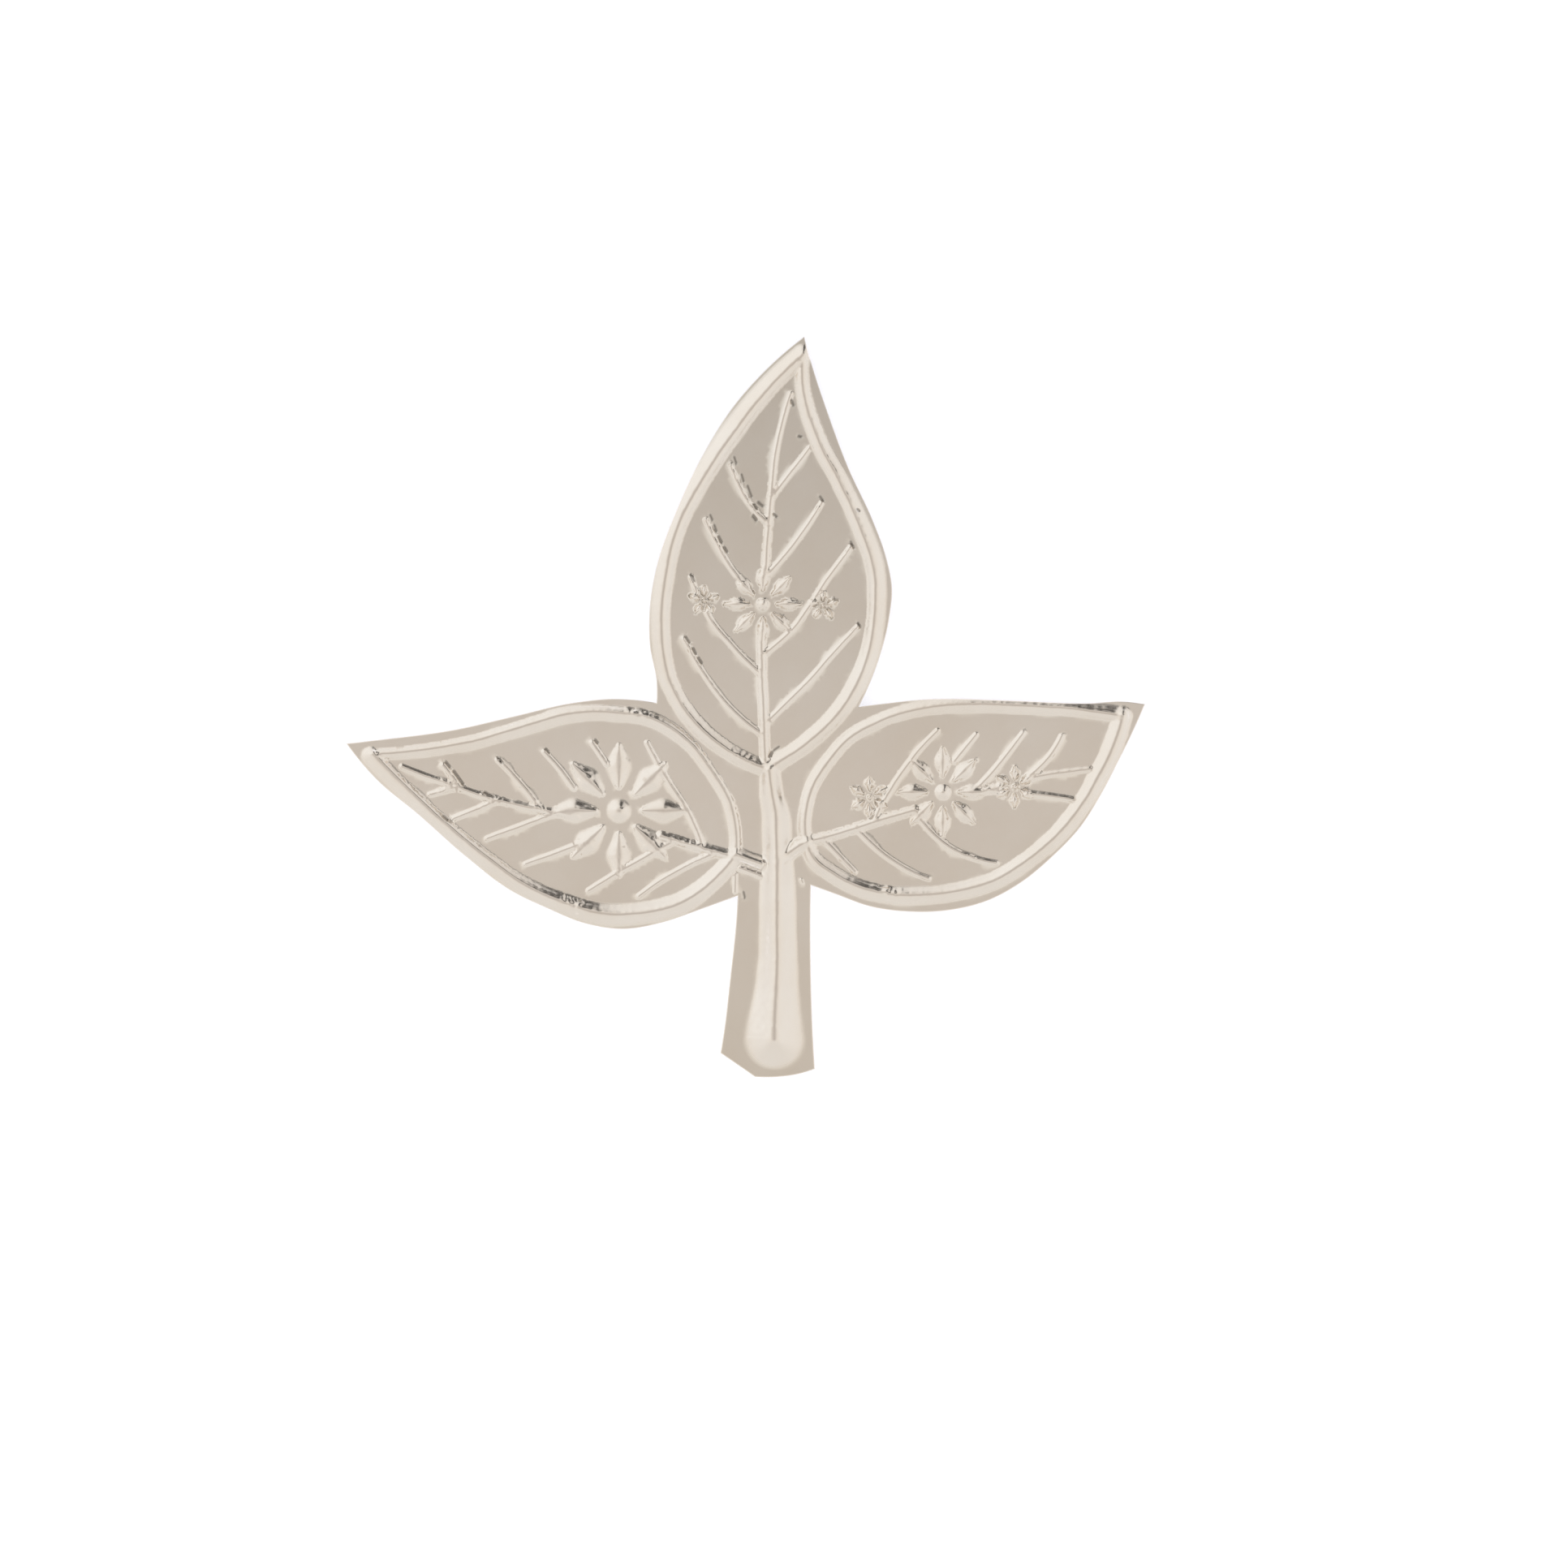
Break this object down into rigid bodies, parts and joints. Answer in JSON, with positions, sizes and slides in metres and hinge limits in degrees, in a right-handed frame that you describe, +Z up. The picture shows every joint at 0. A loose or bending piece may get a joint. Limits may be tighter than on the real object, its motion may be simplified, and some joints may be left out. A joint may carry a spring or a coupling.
{
  "type": "embossed silver bael leaf",
  "caption": "Votive bael leaf pressed from thin silver sheet, lying flat: leaflets on a stem, with raised rims, veins and small flowers.",
  "frame": {"origin": "middle of the leaf's outline, on the surface that its flat back lies on", "axes": "+Z up, out of the embossed front; +Y from the foot of the stem to the tip of the middle leaflet; +X along the width, to the tip of the right-hand leaflet"},
  "size_m": [0.06, 0.0556, 0.0018],
  "materials": {
    "silver": "silver sheet, satin on the flat ground and polished on the raised ridges"
  },
  "bodies": {
    "root": {"silver_leaf": "silver"}
  },
  "joints": []
}
